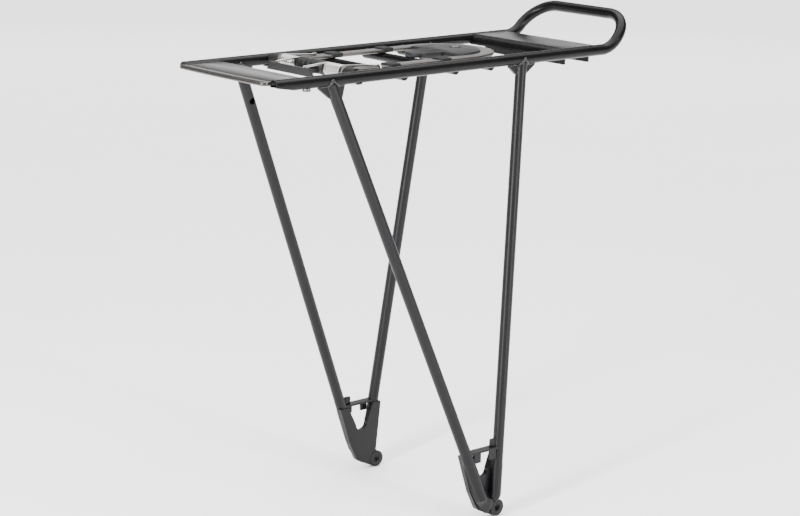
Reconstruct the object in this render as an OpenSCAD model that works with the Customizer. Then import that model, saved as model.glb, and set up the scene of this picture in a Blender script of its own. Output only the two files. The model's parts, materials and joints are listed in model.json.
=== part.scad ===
// Rear bicycle rack with a sprung load clamp.
// Millimetres. X runs to the rear of the bicycle, Y to its right, Z up.
// The origin lies midway between the two dropout holes.

/* [Overall size] */
// Height of the rail centre line above the dropout holes
rail_height = 400; // [340:1:460]
// Distance between the centre lines of the two rails
rail_spacing = 126; // [105:0.5:150]
// Distance between the middles of the two foot plates
foot_spacing = 169.4; // [150:0.1:190]
// Front end of the rails, ahead of the dropout holes
rail_front = 232; // [210:1:270]
// Length of each rail from its front end to the loop's first bend
rail_length = 370.6; // [320:0.1:420]
// Length of the slanted cut under each rail's front end
mitre_length = 21; // [10:1:40]
// Rise of that cut over its length
mitre_rise = 3.8; // [2:0.1:4.2]

/* [Frame tube] */
// Diameter of the rails, legs and loop
tube_d = 10; // [8:0.5:12]
// Radius of the loop's upward bend
rise_radius = 25.7; // [18:0.1:35]
// Angle of the loop above the deck
rise_angle = 44; // [20:1:60]
// Radius of the loop's two corners
corner_radius = 29; // [20:0.5:40]
// Diameter of the crossbars
bar_d = 8; // [6:0.5:10]
// Positions of the three crossbars along the deck
bar_front_x = -93.5; // [-120:0.5:-80]
// Middle crossbar
bar_middle_x = -36; // [-60:0.5:-20]
// Rear crossbar
bar_rear_x = 4.8; // [-5:0.1:15]

/* [Stay sockets] */
// Diameter of the drilled socket for a front stay
socket_d = 6.4; // [5:0.1:6.6]
// Depth of the socket
socket_depth = 48; // [40:1:70]
// Distance of the clamping screw from the rail's front end
screw_inset = 33; // [26:0.5:40]
// Thread diameter of the clamping screw
screw_d = 4; // [3:0.5:4]

/* [Legs and feet] */
// Front leg centre line at deck height
front_leg_top = -175.6; // [-195:0.1:-150]
// Front leg centre line carried down to the dropout holes
front_leg_foot = -16.1; // [-22:0.1:-12]
// Rear leg centre line at deck height
rear_leg_top = 38.9; // [20:0.1:60]
// Rear leg centre line carried down to the dropout holes
rear_leg_foot = -7.1; // [-10:0.1:-4]
// How far the leg lines pass outside the foot plates' middles
leg_offset = 7.3; // [6:0.1:9]
// Thickness of the foot plates
foot_t = 5; // [4:0.5:6]
// Outer radius of the dropout boss
boss_r = 7.8; // [7:0.2:10]
// Dropout hole diameter, clearance for an M5 bolt
eyelet_d = 5.5; // [5.2:0.1:6.5]
// Height of the foot plates' two arms
arm_top = 57; // [50:1:60]
// Diameter of the blind hole in each front leg
leg_hole_d = 6; // [4:0.5:7]
// Height of that hole
leg_hole_z = 365; // [300:1:375]

/* [Plates] */
// Front edge of the front plate, ahead of the dropout holes
plate_front = 242; // [230:1:280]
// Length of the front plate along the deck
plate_length = 45; // [35:1:60]
// Thickness of the front plate
plate_t = 3; // [2:0.5:4]
// Front edge of the rear plate
channel_x = 90; // [70:1:100]
// Length of the rear plate along the deck
channel_length = 31; // [25:1:40]
// Sheet thickness of the rear plate and lamp bracket
sheet_t = 2.5; // [2:0.1:3]
// Distance from each rail's centre line in to the end of the lamp bracket
lamp_inset = 11; // [10:0.5:14]
// Distance between the lamp bolt holes
lamp_spacing = 80; // [50:1:80]
// Lamp bolt hole diameter
lamp_hole_d = 5.2; // [4.2:0.1:5.6]

/* [Sprung clamp] */
// Pivot position along the deck
pivot_x = -143; // [-150:0.5:-135]
// Pivot height above the rail centre line
pivot_rise = 1.6; // [1:0.1:2.5]
// Diameter of the pivot rod
pivot_d = 5; // [4:0.5:6]
// Radial clearance of the arm eyes on the rod
pivot_clearance = 0.05; // [0.02:0.01:0.1]
// Width of the clamp's flat bar
strip_width = 12; // [9:0.5:14]
// Thickness of the clamp's flat bar
strip_t = 3; // [2.5:0.25:3.5]
// Outer radius of the clamp's round rear end
clamp_radius = 45; // [40:0.5:50]
// Centre of the round rear end along the deck
clamp_end_x = 3; // [-5:1:12]
// Outer diameter of the arm eyes
eye_d = 12; // [10:0.5:13]
// Width of each eye along the pivot, less than the strip so that the coils fit beside it
eye_width = 4.2; // [3:0.1:6]
// Gap between the resting clamp and the crossbars
rest_gap = 0.1; // [0.05:0.05:0.5]
// Thickness of the grip
grip_t = 5.2; // [4.5:0.1:7]
// Spring wire diameter
wire_d = 2; // [1.4:0.1:2]
// Mean radius of the spring coils
coil_radius = 4.7; // [4.6:0.1:5.5]
// Turns in each spring
coil_turns = 8; // [4:1:8]

/* [Hidden] */
// the dropout plate's outline: half the width of its arms, the rounded corners below them and the notch between them
arm_half = 5.3;
knee = [-26.8, 23.5];
knee_r = 6.3;
heel = [-17, 9.5];
heel_r = 9;
notch = [-18.5, 39];
notch_r = 6.8;
$fn = 48;
tube_r = tube_d / 2;
bar_r = bar_d / 2;
rail_y = rail_spacing / 2;
rail_rear = rail_length - rail_front;
foot_y = foot_spacing / 2;
foot_outer = foot_y + foot_t / 2;
leg_foot_y = foot_y + leg_offset;
bar_z = rail_height - bar_r;
bend_end = [rail_rear + rise_radius * sin(rise_angle), rail_height + rise_radius * (1 - cos(rise_angle))];
pivot_z = rail_height + pivot_rise;
strip_bottom = rail_height + rest_gap;
strip_top = strip_bottom + strip_t;
arm_inner = clamp_radius - strip_width;
hub_half = arm_inner - 14.9;
coil_start = hub_half + wire_d / 2 + 0.1;
coil_end = clamp_radius - eye_width - wire_d / 2 - 0.3;
hook_x = pivot_x + 35.5;
grip_top = strip_bottom + grip_t;
plate_rear = plate_length - plate_front;
channel_top = rail_height + tube_r - 1;
leg_end = tube_r + 9;
// the fixed block between the springs: hub radius, and half the bracket's width at its foot and at its top
hub_r = 6;
bracket_low = 31;
bracket_high = 26;
slack = 1;

// ---- helpers ----

// A round bar between two points.
module rod(a, b, r) {
    v = b - a;
    translate(a) rotate([0, acos(v[2] / norm(v)), atan2(v[1], v[0])]) rotate([0, 0, 30]) cylinder(h = norm(v), r = r);
}

// A cylinder along Y, from y0 to y1, centred at x and z.
module along_y(x, z, y0, y1, r) {
    translate([x, y1, z]) rotate([90, 0, 0]) cylinder(h = y1 - y0, r = r);
}

// A box given by its two corners.
module block(a, b) {
    translate(a) cube(b - a);
}

// A flat shape drawn in X and Z, given thickness along Y from y0 to y1.
module side_plate(points, y0, y1) {
    translate([0, y1, 0]) rotate([90, 0, 0]) linear_extrude(y1 - y0) polygon(points);
}

// The space one rail fills, long enough to cut any neighbour to its shape.
module rail_space(side) {
    translate([-rail_front - 60, side * rail_y, rail_height]) rotate([0, 90, 0]) cylinder(h = rail_length + 120, r = tube_r);
}

function leg_point(top, foot, side, z) =
    [foot + (top - foot) * z / rail_height, side * (leg_foot_y + (rail_y - leg_foot_y) * z / rail_height), z];

module leg_space(top, foot, side, z0, z1) {
    rod(leg_point(top, foot, side, z0), leg_point(top, foot, side, z1), tube_r);
}

// Two discs in the X and Z plane joined by their outer tangents.
module link(p, pr, q, qr, y0, y1) {
    a = atan2(q[1] - p[1], q[0] - p[0]);
    b = acos((pr - qr) / norm(q - p));
    along_y(p[0], p[1], y0, y1, pr);
    along_y(q[0], q[1], y0, y1, qr);
    side_plate([
        p + pr * [cos(a + b), sin(a + b)], p + pr * [cos(a - b), sin(a - b)],
        q + qr * [cos(a - b), sin(a - b)], q + qr * [cos(a + b), sin(a + b)]
    ], y0, y1);
}

function unit(v) = v / norm(v);

// A round wire along a list of points, its section carried along without twisting.
module wire(p, r, sides = 8) {
    last = len(p) - 1;
    t = [for (i = [0:last]) unit(p[min(i + 1, last)] - p[max(i - 1, 0)])];
    n = [for (i = 0, v = unit(cross(t[0], [0, 1, 0])); i <= last;
        i = i + 1, v = i <= last ? unit(v - (v * t[i]) * t[i]) : v) v];
    points = [for (i = [0:last]) for (k = [0:sides - 1])
        p[i] + r * (cos(360 * k / sides) * n[i] + sin(360 * k / sides) * cross(t[i], n[i]))];
    walls = [for (i = [0:last - 1]) for (k = [0:sides - 1])
        let (a = i * sides + k, b = i * sides + (k + 1) % sides)
        each [[a, a + sides, b + sides], [a, b + sides, b]]];
    first_cap = [[for (k = [0:sides - 1]) k]];
    last_cap = [[for (k = [sides - 1:-1:0]) last * sides + k]];
    polyhedron(points = points, faces = concat(first_cap, walls, last_cap));
}

// ---- deck frame ----

module rail(side) {
    x0 = -rail_front;
    screw_x = x0 + screw_inset;
    color("#232224") difference() {
        translate([x0, side * rail_y, rail_height]) rotate([0, 90, 0]) cylinder(h = rail_length, r = tube_r);
        translate([x0 - slack, side * rail_y, rail_height]) rotate([0, 90, 0])
            cylinder(h = socket_depth + slack, r = socket_d / 2);
        translate([screw_x, side * rail_y, rail_height - tube_r - slack]) cylinder(h = tube_r + slack, r = screw_d / 2);
        translate([screw_x, side * rail_y, rail_height - tube_r - slack])
            cylinder(h = slack + 0.6, r = screw_d / 2 + 1.6);
        side_plate([[x0 + mitre_length, rail_height - tube_r], [x0, rail_height - tube_r + mitre_rise],
            [x0 - slack, rail_height - tube_r + mitre_rise], [x0 - slack, rail_height - tube_r - slack],
            [x0 + mitre_length, rail_height - tube_r - slack]],
            side * rail_y - tube_r - slack, side * rail_y + tube_r + slack);
    }
}

module loop_bend(side) {
    color("#232224") translate([rail_rear, side * rail_y, rail_height + rise_radius])
        rotate([90, 0, 0]) rotate([0, 0, -90])
        rotate_extrude(angle = rise_angle) translate([rise_radius, 0]) circle(r = tube_r);
}

// Drawn flat in the loop's own plane, then tilted up to meet the two bends.
module rear_loop() {
    half = rail_y - corner_radius;
    color("#232224") translate([bend_end[0], 0, bend_end[1]]) rotate([0, -rise_angle, 0]) {
        for (side = [-1, 1]) translate([0, side * half, 0]) rotate([0, 0, side > 0 ? 0 : -90])
            rotate_extrude(angle = 90) translate([corner_radius, 0]) circle(r = tube_r);
        along_y(corner_radius, 0, -half, half, tube_r);
    }
}

module front_plate() {
    half = rail_y - 3;
    color("#2b2a2b") difference() {
        union() {
            block([8 - plate_front, -half, rail_height], [plate_rear, half, rail_height + plate_t]);
            block([-plate_front, 8 - half, rail_height], [8 - plate_front, half - 8, rail_height + plate_t]);
            for (side = [-1, 1])
                translate([8 - plate_front, side * (half - 8), rail_height]) cylinder(h = plate_t, r = 8);
        }
        block([11 - plate_front, -half - slack, rail_height + plate_t - 0.8],
            [12 - plate_front, half + slack, rail_height + plate_t + slack]);
        for (side = [-1, 1]) rail_space(side);
    }
}

module rear_plate() {
    half = rail_y - 3;
    x1 = channel_x + channel_length;
    low = rail_height - tube_r;
    color("#262527") difference() {
        block([channel_x, -half, low], [x1, half, channel_top]);
        block([channel_x + sheet_t, -half - slack, low - slack], [x1 - sheet_t, half + slack, channel_top - sheet_t]);
        for (side = [-1, 1]) rail_space(side);
    }
}

module lamp_bracket() {
    half = rail_y - lamp_inset;
    x0 = channel_x + 11.5;
    x1 = channel_x + channel_length + 13;
    low = rail_height - tube_r - 7;
    web = rail_height - tube_r;
    hole_z = rail_height - 0.5;
    color("#262527") difference() {
        union() {
            block([x0, -half, web - sheet_t], [x1, half, web]);
            block([x0, -half, low], [x0 + sheet_t, half, web]);
            block([x1 - sheet_t, -half, low], [x1, half, channel_top]);
        }
        for (side = [-1, 1]) translate([x1 + slack, side * lamp_spacing / 2, hole_z]) rotate([0, -90, 0])
            cylinder(h = sheet_t + 2 * slack, r = lamp_hole_d / 2);
    }
}

module crossbar(x) {
    color("#2b2a2b") difference() {
        along_y(x, bar_z, 2 - rail_y, rail_y - 2, bar_r);
        for (side = [-1, 1]) rail_space(side);
    }
}

// ---- legs and feet ----

module leg(top, foot, side) {
    color("#3a393b") difference() {
        leg_space(top, foot, side, leg_end, rail_height - tube_r + 1.5);
        rail_space(side);
        block([-100, min(0, side * foot_outer), 0], [60, max(0, side * foot_outer), arm_top]);
        if (top == front_leg_top) {
            hole = leg_point(top, foot, side, leg_hole_z);
            inner = side * (abs(hole[1]) - tube_r - slack);
            along_y(hole[0], leg_hole_z, min(inner, hole[1]), max(inner, hole[1]), leg_hole_d / 2);
        }
    }
}

module gusset(top, foot, side, drop, reach) {
    z1 = rail_height - tube_r + slack;
    z0 = z1 - drop;
    x1 = leg_point(top, foot, side, z1)[0];
    x0 = leg_point(top, foot, side, z0)[0];
    y = leg_point(top, foot, side, z1)[1];
    color("#2b2a2b") difference() {
        side_plate([[x1 - reach, z1], [x1 + reach, z1], [x1 + reach, z1 - 2.5], [x0 + tube_r + 1.5, z0],
            [x0 - tube_r - 1.5, z0], [x1 - reach, z1 - 2.5]], y - 1.5, y + 1.5);
        rail_space(side);
        leg_space(top, foot, side, 300, rail_height);
    }
}

// Points round part of a circle, and the direction in which the outer tangent from one disc to the next leaves it.
function arc(c, r, from, to, steps) = [for (i = [0:steps]) let (a = from + (to - from) * i / steps)
    c + r * [cos(a), sin(a)]];
function tangent(p, pr, q, qr) = atan2(q[1] - p[1], q[0] - p[0]) - acos((pr - qr) / norm(q - p));

module foot_plate(side) {
    y0 = side > 0 ? foot_y - foot_t / 2 : -foot_outer;
    front = [leg_point(front_leg_top, front_leg_foot, side, arm_top)[0], arm_top];
    rear = [leg_point(rear_leg_top, rear_leg_foot, side, arm_top)[0], arm_top];
    neck = [leg_point(rear_leg_top, rear_leg_foot, side, 10)[0] + 5.4, 10];
    at_knee = tangent(front, arm_half, knee, knee_r);
    at_heel = tangent(knee, knee_r, heel, heel_r);
    at_boss = tangent(heel, heel_r, [0, 0], boss_r);
    color("#2b2a2b") difference() {
        side_plate(concat(
            [front - [arm_half, 0]], arc(knee, knee_r, at_knee, at_heel, 3), arc(heel, heel_r, at_heel, at_boss, 5),
            arc([0, 0], boss_r, at_boss, 93, 30), [neck, rear + [arm_half, 0], rear - [4.4, 0]],
            arc(notch, notch_r, 0, -180, 18), [front + [4.4, 0]]
        ), y0, y0 + foot_t);
        along_y(0, 0, y0 - slack, y0 + foot_t + slack, eyelet_d / 2);
    }
}

// A folded clip between the two legs. One part serves both feet, so its lug is at the rear leg on the left foot
// and at the front leg on the right foot.
module foot_bridge(side) {
    z0 = arm_top + 0.5;
    z1 = z0 + 2;
    front = leg_point(front_leg_top, front_leg_foot, side, z0);
    rear = leg_point(rear_leg_top, rear_leg_foot, side, z0);
    y = front[1];
    ear_top = z0 + slack;
    front_ear = front[0] + 6.5;
    rear_ear = rear[0] - 13;
    lug = side < 0 ? rear[0] - 10 : front[0] + 4;
    color("#2b2a2b") difference() {
        union() {
            block([front[0], y - 4, z0], [rear[0], y + 4, z1]);
            block([front_ear, y + (side > 0 ? 1.8 : -4), z0 - 8.5], [front_ear + 8, y + (side > 0 ? 4 : -1.8), ear_top]);
            block([rear_ear, y + (side > 0 ? 1.8 : -4), z0 - 8.5], [rear_ear + 7, y + (side > 0 ? 4 : -1.8), ear_top]);
            block([lug, y - 1.2, z1 - slack], [lug + 6, y + 1.2, z1 + 7]);
        }
        leg_space(front_leg_top, front_leg_foot, side, leg_end, 200);
        leg_space(rear_leg_top, rear_leg_foot, side, leg_end, 200);
    }
}

module stay_screws() {
    x = screw_inset - rail_front;
    seat = rail_height - tube_r + 0.6;
    color("#8d8f92") for (side = [-1, 1]) difference() {
        union() {
            translate([x, side * rail_y, seat - 2.6]) cylinder(h = 2.6, r = screw_d / 2 + 1.4);
            translate([x, side * rail_y, seat - slack]) cylinder(h = rail_height - socket_d / 2 - seat + slack,
                r = screw_d / 2 - 0.05);
        }
        translate([x, side * rail_y, seat - 2.6 - slack]) cylinder(h = 1.6 + slack, r = 1.2);
    }
}

// ---- clamp pivot, fixed to the rails ----

module pivot_rod() {
    color("#b9bbbe") difference() {
        along_y(pivot_x, pivot_z, 2 - rail_y, rail_y - 2, pivot_d / 2);
        for (side = [-1, 1]) rail_space(side);
    }
}

module pivot_spacers() {
    color("#1c1c1d") for (side = [-1, 1]) difference() {
        along_y(pivot_x, pivot_z, side > 0 ? clamp_radius + 0.3 : tube_r + 0.5 - rail_y,
            side > 0 ? rail_y - tube_r - 0.5 : -clamp_radius - 0.3, pivot_d / 2 + 2);
        along_y(pivot_x, pivot_z, -rail_y, rail_y, pivot_d / 2);
    }
}

module hub_sleeve() {
    half = hub_half - 3.5;
    color("#1c1c1d") difference() {
        translate([pivot_x, 0, pivot_z]) rotate([90, 0, 0]) {
            translate([0, 0, -half]) cylinder(h = 2 * half, r = hub_r);
            for (turn = [0, 180]) rotate([turn, 0, 0]) translate([0, 0, half]) cylinder(h = 3.5, r1 = hub_r, r2 = hub_r - 1.5);
        }
        along_y(pivot_x, pivot_z, -rail_y, rail_y, pivot_d / 2);
    }
}

module spring_bracket() {
    low = rail_height - 2.4;
    high = rail_height + 4;
    x = pivot_x - 26;
    color("#1c1c1d") difference() {
        union() {
            translate([x, 0, 0]) rotate([90, 0, 90]) linear_extrude(3)
                polygon([[-bracket_low, low], [bracket_low, low], [bracket_high, high], [-bracket_high, high]]);
            block([x + slack, 1 - hub_half + 3.5, low], [pivot_x, hub_half - 4.5, low + 3]);
        }
        along_y(pivot_x, pivot_z, -rail_y, rail_y, hub_r);
    }
}

// ---- moving clamp ----

module clamp_bar() {
    difference() {
        union() {
            for (side = [-1, 1]) {
                y0 = side > 0 ? arm_inner : -clamp_radius;
                eye_y = side > 0 ? clamp_radius - eye_width : -clamp_radius;
                block([pivot_x + eye_d / 2 + 1.5, y0, strip_bottom], [clamp_end_x, y0 + strip_width, strip_top]);
                block([pivot_x, eye_y, strip_bottom], [pivot_x + eye_d, eye_y + eye_width, strip_top]);
                along_y(pivot_x, pivot_z, eye_y, eye_y + eye_width, eye_d / 2);
            }
            intersection() {
                translate([clamp_end_x, 0, strip_bottom]) difference() {
                    cylinder(h = strip_t, r = clamp_radius, $fn = 96);
                    translate([0, 0, -slack]) cylinder(h = strip_t + 2 * slack, r = arm_inner, $fn = 96);
                }
                block([clamp_end_x, -clamp_radius - slack, strip_bottom - slack],
                    [clamp_end_x + clamp_radius + slack, clamp_radius + slack, strip_top + slack]);
            }
            block([clamp_end_x + 5, -8, strip_bottom], [clamp_end_x + arm_inner + 2, 8, strip_top]);
        }
        along_y(pivot_x, pivot_z, -rail_y, rail_y, pivot_d / 2 + pivot_clearance);
    }
}

module clamp_frame() {
    color("#a9abad") difference() {
        clamp_bar();
        translate([clamp_end_x + 14, 0, strip_bottom - slack]) cylinder(h = strip_t + 2 * slack, r = 2.5);
    }
}

module grip() {
    disc = arm_inner - 0.2;
    color("#1a1a1b") difference() {
        union() {
            intersection() {
                translate([clamp_end_x, 0, strip_bottom]) cylinder(h = grip_t, r = disc, $fn = 96);
                block([clamp_end_x - 11, -disc, strip_bottom], [clamp_end_x + disc, disc, grip_top]);
            }
            block([clamp_end_x - 29, -12, strip_bottom], [clamp_end_x - 10, 12, grip_top]);
            translate([clamp_end_x - 29, 0, strip_bottom]) cylinder(h = grip_t, r = 12);
        }
        block([clamp_end_x + 5, -8, strip_bottom - slack], [clamp_end_x + clamp_radius, 8, strip_top]);
        translate([clamp_end_x + 14, 0, strip_bottom - slack]) cylinder(h = grip_t + 2 * slack, r = 2.5);
    }
}

module grip_rivet() {
    color("#8d8f92") translate([clamp_end_x + 14, 0, 0]) {
        translate([0, 0, strip_bottom - 1.5]) cylinder(h = 1.5, r = 4.5);
        translate([0, 0, strip_bottom - slack]) cylinder(h = grip_t + 1.5 + slack, r = 2.5);
        translate([0, 0, grip_top]) cylinder(h = 1.5, r = 5);
    }
}

module arm_pads() {
    color("#171718") difference() {
        for (x = [bar_front_x + 3, bar_middle_x + 3]) for (side = [-1, 1])
            translate([x - 6, side * (arm_inner + strip_width / 2) - strip_width / 2 - 1.2, strip_bottom])
                cube([12, strip_width + 2.4, strip_t + 1.2]);
        clamp_bar();
    }
}

module spring(side) {
    steps = 18;
    top = pivot_z + coil_radius;
    over = strip_top + wire_d / 2 + 0.1;
    rest = rail_height + 4 + wire_d / 2 + 0.1;
    edge = coil_end;
    bend = clamp_radius - 1.8 - edge;
    tail = [for (s = [0:0.25:1]) [pivot_x - 25 + 22 * s, coil_start, rest + (top - rest) * s * s * (3 - 2 * s)]];
    coil = [for (i = [0:coil_turns * steps]) let (a = 90 - 360 * i / steps)
        [pivot_x + coil_radius * cos(a), coil_start + (edge - coil_start) * i / (coil_turns * steps),
            pivot_z + coil_radius * sin(a)]];
    leg = [for (s = [0.1:0.15:1]) [pivot_x + 29 * s, edge, top + (over - top) * s]];
    turn = [for (a = [15:15:90]) [hook_x - bend + bend * sin(a), edge + bend - bend * cos(a), over]];
    hook = [[hook_x, clamp_radius - 1, over], [hook_x, clamp_radius + 0.9, over - 0.4],
        [hook_x, clamp_radius + 1.7, over - 1.6], [hook_x, clamp_radius + 1.9, over - 3.4]];
    color("#d5d7da") scale([1, side, 1]) wire(concat(tail, coil, leg, turn, hook), wire_d / 2);
}

rail(-1);  // rail_left
rail(1);  // rail_right
loop_bend(-1);  // loop_bend_left
loop_bend(1);  // loop_bend_right
rear_loop();
front_plate();
rear_plate();
lamp_bracket();
crossbar(bar_front_x);  // crossbar_front
crossbar(bar_middle_x);  // crossbar_middle
crossbar(bar_rear_x);  // crossbar_rear
leg(front_leg_top, front_leg_foot, -1);  // front_leg_left
leg(front_leg_top, front_leg_foot, 1);  // front_leg_right
leg(rear_leg_top, rear_leg_foot, -1);  // rear_leg_left
leg(rear_leg_top, rear_leg_foot, 1);  // rear_leg_right
gusset(front_leg_top, front_leg_foot, -1, 11, 13);  // front_gusset_left
gusset(front_leg_top, front_leg_foot, 1, 11, 13);  // front_gusset_right
gusset(rear_leg_top, rear_leg_foot, -1, 9, 15);  // rear_gusset_left
gusset(rear_leg_top, rear_leg_foot, 1, 9, 15);  // rear_gusset_right
foot_plate(-1);  // foot_plate_left
foot_plate(1);  // foot_plate_right
foot_bridge(-1);  // foot_bridge_left
foot_bridge(1);  // foot_bridge_right
stay_screws();
pivot_rod();
pivot_spacers();
hub_sleeve();
spring_bracket();
clamp_frame();
grip();
grip_rivet();
arm_pads();
spring(-1);  // spring_left
spring(1);  // spring_right
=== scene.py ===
import json
import math

import bmesh
import bpy
import numpy as np
from mathutils import Matrix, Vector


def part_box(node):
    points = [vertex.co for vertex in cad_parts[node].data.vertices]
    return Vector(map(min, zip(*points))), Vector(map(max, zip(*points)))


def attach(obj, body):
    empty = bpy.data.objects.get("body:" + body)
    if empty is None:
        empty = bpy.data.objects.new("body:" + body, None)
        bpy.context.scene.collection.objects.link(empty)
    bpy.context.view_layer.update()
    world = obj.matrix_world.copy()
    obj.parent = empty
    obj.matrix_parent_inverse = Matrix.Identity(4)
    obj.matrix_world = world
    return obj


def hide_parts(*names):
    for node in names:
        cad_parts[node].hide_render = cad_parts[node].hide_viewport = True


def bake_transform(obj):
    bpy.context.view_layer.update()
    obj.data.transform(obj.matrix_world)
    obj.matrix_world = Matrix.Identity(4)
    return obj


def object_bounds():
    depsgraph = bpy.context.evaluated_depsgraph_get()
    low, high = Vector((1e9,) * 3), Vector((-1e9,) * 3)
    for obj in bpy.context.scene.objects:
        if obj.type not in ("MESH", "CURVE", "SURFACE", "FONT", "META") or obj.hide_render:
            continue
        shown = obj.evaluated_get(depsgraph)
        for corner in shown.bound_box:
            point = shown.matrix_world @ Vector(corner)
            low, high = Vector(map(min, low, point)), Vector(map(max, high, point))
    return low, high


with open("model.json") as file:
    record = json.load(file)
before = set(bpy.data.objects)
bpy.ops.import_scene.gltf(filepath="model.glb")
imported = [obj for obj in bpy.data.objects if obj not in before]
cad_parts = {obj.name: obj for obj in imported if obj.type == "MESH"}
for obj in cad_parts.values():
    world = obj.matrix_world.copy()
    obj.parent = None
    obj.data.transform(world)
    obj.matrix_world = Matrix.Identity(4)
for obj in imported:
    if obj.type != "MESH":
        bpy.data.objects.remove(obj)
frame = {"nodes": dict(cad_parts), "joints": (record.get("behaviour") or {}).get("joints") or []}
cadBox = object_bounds()
nodes = frame["nodes"]
mm = 0.001
print("frame loaded:", len(nodes), "nodes")

# what the pieces hang on, read from the frame
railLow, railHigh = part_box("rail_right")
railRadius = (railHigh.y - railLow.y) / 2
railY = (railHigh.y + railLow.y) / 2
railZ = (railHigh.z + railLow.z) / 2
pivotX, _, pivotZ = frame["joints"][0]["pos_m"]
footLow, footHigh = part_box("foot_plate_right")
footOuter = footHigh.y
_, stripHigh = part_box("clamp_frame")
clampRadius = stripHigh.y
clampEndX = stripHigh.x - clampRadius

# the leg centre lines, the same lines as in the CAD: x at the deck and at the dropouts, and y at the dropouts
legs = {
    "front": {"top": -175.6 * mm, "foot": -16.1 * mm},
    "rear": {"top": 38.9 * mm, "foot": -7.1 * mm},
    "footY": 92 * mm,
}


def legAxis(kind, side, z):
    # straight line from (foot, footY) at z = 0 to (top, railY) at z = railZ
    z = np.asarray(z, float)
    t = z / railZ
    x = legs[kind]["foot"] + (legs[kind]["top"] - legs[kind]["foot"]) * t
    y = side * (legs["footY"] + (railY - legs["footY"]) * t)
    return np.stack([x, y, z], -1)


def unit(v):
    return v / np.maximum(np.linalg.norm(v, axis=-1, keepdims=True), 1e-12)


def smooth(t):
    # 3t^2 - 2t^3 between 0 and 1
    t = np.clip(t, 0, 1)
    return t * t * (3 - 2 * t)


def gridFaces(rows, cols, rowLoop, start=0):
    # quads of a grid whose columns close round; the rows may close too
    r = np.arange(rows if rowLoop else rows - 1)[:, None]
    c = np.arange(cols)[None, :]
    r2, c2 = (r + 1) % rows, (c + 1) % cols
    quads = np.stack([r * cols + c, r * cols + c2, r2 * cols + c2, r2 * cols + c], -1)
    return (quads.reshape(-1, 4) + start).tolist()


def ringSurface(points, rowLoop=False):
    # points[i, j]: ring i, place j round it; open ends are closed with one face each
    rows, cols = points.shape[:2]
    faces = gridFaces(rows, cols, rowLoop)
    if not rowLoop:
        faces.append(list(range(cols))[::-1])
        faces.append(list(range((rows - 1) * cols, rows * cols)))
    return points.reshape(-1, 3), faces


def sweep(path, side, up, section, rowLoop=False):
    # P(i, j) = path(i) + side(i) * section(j).x + up(i) * section(j).y
    section = np.asarray(section, float)
    if section.ndim == 2:
        section = np.repeat(section[None], len(path), 0)
    side = np.broadcast_to(side, path.shape)
    up = np.broadcast_to(up, path.shape)
    points = path[:, None] + side[:, None] * section[..., :1] + up[:, None] * section[..., 1:]
    return ringSurface(points, rowLoop)


def alongPath(path, guide, section, rowLoop=False):
    # the section stands square to the path: side = tangent x guide, up = side x tangent
    if rowLoop:
        tangent = unit(np.roll(path, -1, 0) - np.roll(path, 1, 0))
    else:
        tangent = unit(np.gradient(path, axis=0))
    side = unit(np.cross(tangent, np.broadcast_to(guide, path.shape)))
    return sweep(path, side, np.cross(side, tangent), section, rowLoop)


def circle(radius, count):
    a = np.linspace(0, 2 * np.pi, count, endpoint=False)
    return np.stack([np.cos(a), np.sin(a)], -1) * radius


def roundedRect(width, height, radius, steps=5):
    # four quarter circles joined by straight sides
    a = np.radians(np.linspace(0, 90, steps))
    corner = np.stack([np.cos(a), np.sin(a)], -1) * radius
    out = []
    for k, (sx, sy) in enumerate([(1, 1), (-1, 1), (-1, -1), (1, -1)]):
        c, s = math.cos(k * math.pi / 2), math.sin(k * math.pi / 2)
        turned = corner @ np.array([[c, s], [-s, c]])
        out.append(turned + np.array([sx * (width / 2 - radius), sy * (height / 2 - radius)]))
    return np.concatenate(out)


def lathe(centre, profile, count=48):
    # profile (distance along Y, radius) turned about the Y axis through centre
    profile = np.asarray(profile, float)
    a = np.linspace(0, 2 * np.pi, count, endpoint=False)
    r = profile[:, 1:2]
    points = np.stack([r * np.cos(a), np.repeat(profile[:, :1], count, 1), r * np.sin(a)], -1)
    return ringSurface(points + np.asarray(centre))


def join(*shells):
    verts, faces, start = [], [], 0
    for v, f in shells:
        verts.append(v)
        faces += [[i + start for i in face] for face in f]
        start += len(v)
    return np.concatenate(verts), faces


def mirrored(shell):
    v, f = shell
    return v * np.array([1, -1, 1]), [face[::-1] for face in f]


def piece(name, shell, material, body, replaced=(), sharp=32):
    verts, faces = shell
    mesh = bpy.data.meshes.new(name)
    mesh.from_pydata(verts.tolist(), [], faces)
    bm = bmesh.new()
    bm.from_mesh(mesh)
    bmesh.ops.remove_doubles(bm, verts=bm.verts, dist=1e-7)
    bmesh.ops.recalc_face_normals(bm, faces=bm.faces)
    bm.to_mesh(mesh)
    bm.free()
    mesh.shade_smooth()
    mesh.set_sharp_from_angle(angle=math.radians(sharp))
    obj = bpy.data.objects.new(name, mesh)
    bpy.context.scene.collection.objects.link(obj)
    mesh.materials.append(material)
    if isinstance(body, str):
        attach(obj, body)
    else:
        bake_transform(obj)
    if replaced:
        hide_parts(*replaced)
    return obj


def toLinear(hexColour):
    c = np.array([int(hexColour[i:i + 2], 16) for i in (1, 3, 5)]) / 255
    linear = np.where(c <= 0.04045, c / 12.92, ((c + 0.055) / 1.055) ** 2.4)
    return (*linear.tolist(), 1.0)


def addNode(tree, kind, settings=None, links=None):
    # settings: socket or property name to value; links: input name to (node, output name)
    node = tree.nodes.new(kind)
    for key, value in (settings or {}).items():
        if key in node.inputs:
            node.inputs[key].default_value = value
        else:
            setattr(node, key, value)
    for key, (source, output) in (links or {}).items():
        tree.links.new(source.outputs[output], node.inputs[key])
    return node


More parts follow.
